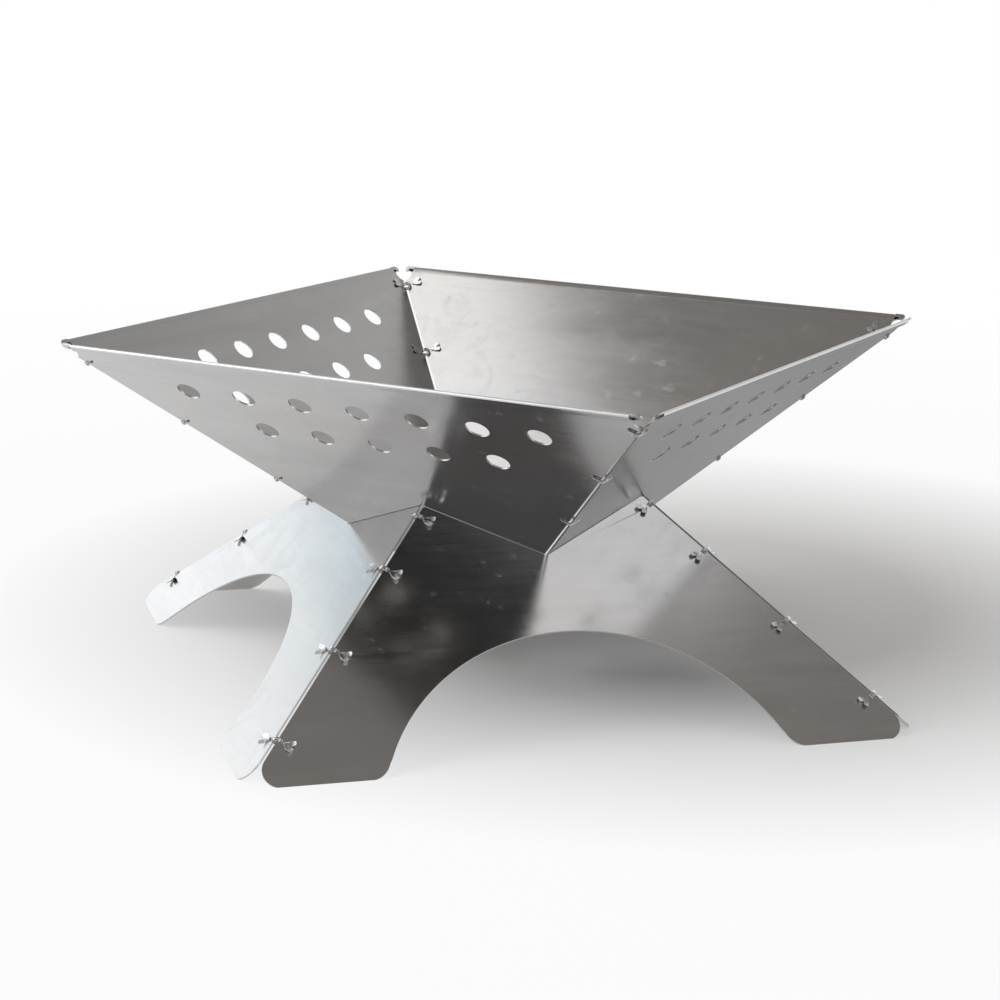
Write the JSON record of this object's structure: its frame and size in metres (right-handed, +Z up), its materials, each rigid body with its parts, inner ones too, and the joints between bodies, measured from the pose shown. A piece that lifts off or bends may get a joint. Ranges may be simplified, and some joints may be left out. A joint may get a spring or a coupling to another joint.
{
  "type": "folding fire pit",
  "caption": "Folding sheet-steel fire pit: a square vented bowl of hinged panels resting in an arched hinged base.",
  "frame": {"origin": "middle of the footprint, on the ground under the feet", "axes": "+Z up; the bowl's rim sides run along X and Y; the base's legs point along -Y, +X, +Y and -X"},
  "size_m": [0.6072, 0.6072, 0.2391],
  "materials": {
    "sheet_steel": "bright rolled stainless sheet, smooth, with soft smudges",
    "pin_steel": "plain bright wire, bent by hand"
  },
  "bodies": {
    "base_back": {"base_back": "sheet_steel", "pin_base_back_leg_back_1": "pin_steel", "pin_base_back_leg_back_2": "pin_steel", "pin_base_back_leg_back_3": "pin_steel", "pin_base_back_leg_back_tip": "pin_steel", "pin_base_back_leg_left_1": "pin_steel", "pin_base_back_leg_left_2": "pin_steel", "pin_base_back_leg_left_3": "pin_steel", "pin_base_back_leg_left_tip": "pin_steel"},
    "base_front": {"base_front": "sheet_steel", "pin_base_front_leg_front_1": "pin_steel", "pin_base_front_leg_front_2": "pin_steel", "pin_base_front_leg_front_3": "pin_steel", "pin_base_front_leg_front_tip": "pin_steel", "pin_base_front_leg_right_1": "pin_steel", "pin_base_front_leg_right_2": "pin_steel", "pin_base_front_leg_right_3": "pin_steel", "pin_base_front_leg_right_tip": "pin_steel"},
    "base_left": {"base_left": "sheet_steel", "pin_base_left_leg_front_1": "pin_steel", "pin_base_left_leg_front_2": "pin_steel", "pin_base_left_leg_front_3": "pin_steel", "pin_base_left_leg_left_1": "pin_steel", "pin_base_left_leg_left_2": "pin_steel", "pin_base_left_leg_left_3": "pin_steel"},
    "base_right": {"base_right": "sheet_steel", "pin_base_right_leg_back_1": "pin_steel", "pin_base_right_leg_back_2": "pin_steel", "pin_base_right_leg_back_3": "pin_steel", "pin_base_right_leg_right_1": "pin_steel", "pin_base_right_leg_right_2": "pin_steel", "pin_base_right_leg_right_3": "pin_steel"},
    "bowl_back": {"bowl_back": "sheet_steel", "pin_bowl_back_corner_back_1": "pin_steel", "pin_bowl_back_corner_back_2": "pin_steel", "pin_bowl_back_corner_back_3": "pin_steel", "pin_bowl_back_corner_right_1": "pin_steel", "pin_bowl_back_corner_right_2": "pin_steel", "pin_bowl_back_corner_right_3": "pin_steel"},
    "bowl_front": {"bowl_front": "sheet_steel", "pin_bowl_front_corner_front_1": "pin_steel", "pin_bowl_front_corner_front_2": "pin_steel", "pin_bowl_front_corner_front_3": "pin_steel", "pin_bowl_front_corner_left_1": "pin_steel", "pin_bowl_front_corner_left_2": "pin_steel", "pin_bowl_front_corner_left_3": "pin_steel"},
    "bowl_left": {"bowl_left": "sheet_steel", "pin_bowl_left_corner_back_1": "pin_steel", "pin_bowl_left_corner_back_2": "pin_steel", "pin_bowl_left_corner_back_3": "pin_steel", "pin_bowl_left_corner_left_1": "pin_steel", "pin_bowl_left_corner_left_2": "pin_steel", "pin_bowl_left_corner_left_3": "pin_steel"},
    "bowl_right": {"bowl_right": "sheet_steel", "pin_bowl_right_corner_front_1": "pin_steel", "pin_bowl_right_corner_front_2": "pin_steel", "pin_bowl_right_corner_front_3": "pin_steel", "pin_bowl_right_corner_right_1": "pin_steel", "pin_bowl_right_corner_right_2": "pin_steel", "pin_bowl_right_corner_right_3": "pin_steel"}
  },
  "joints": [
    {"name": "fold", "type": "hinge", "parent": "base_front", "child": "base_left", "pos_m": [0, -0.20937, 0.06732], "axis": [0, 0.8375, 0.5465], "range_deg": [0, 57.31]},
    {"name": "base_right_fold", "type": "hinge", "parent": "base_front", "child": "base_right", "pos_m": [0.20937, 0, 0.06732], "axis": [-0.8375, 0, 0.5465], "range_deg": [0, 117.7]},
    {"name": "base_back_fold", "type": "hinge", "parent": "base_left", "child": "base_back", "pos_m": [-0.20937, 0, 0.06732], "axis": [-0.8375, 0, -0.5465], "range_deg": [0, 60.19]},
    {"name": "bowl_lift", "type": "slide", "parent": "base_front", "child": "bowl_front", "axis": [0, 0, 1], "range_m": [0, 0.3601]},
    {"name": "bowl_left_fold", "type": "hinge", "parent": "bowl_front", "child": "bowl_left", "pos_m": [-0.14695, -0.14695, 0.17343], "axis": [-0.5878, -0.5878, 0.5559], "range_deg": [0, 58.15]},
    {"name": "bowl_right_fold", "type": "hinge", "parent": "bowl_front", "child": "bowl_right", "pos_m": [0.14695, -0.14695, 0.17343], "axis": [0.5878, -0.5878, 0.5559], "range_deg": [0, 116.87]},
    {"name": "bowl_back_fold", "type": "hinge", "parent": "bowl_left", "child": "bowl_back", "pos_m": [-0.14695, 0.14695, 0.17343], "axis": [0.5878, -0.5878, -0.5559], "range_deg": [0, 61.05]}
  ],
  "couplings": [
    {"joint": "base_right_fold", "follows": "fold", "ratio": 2.0536},
    {"joint": "base_back_fold", "follows": "fold", "ratio": 1.05},
    {"joint": "bowl_lift", "follows": "fold", "m_per_rad": 0.35991},
    {"joint": "bowl_left_fold", "follows": "fold", "ratio": 1.0144},
    {"joint": "bowl_right_fold", "follows": "fold", "ratio": 2.0392},
    {"joint": "bowl_back_fold", "follows": "fold", "ratio": 1.0651}
  ]
}
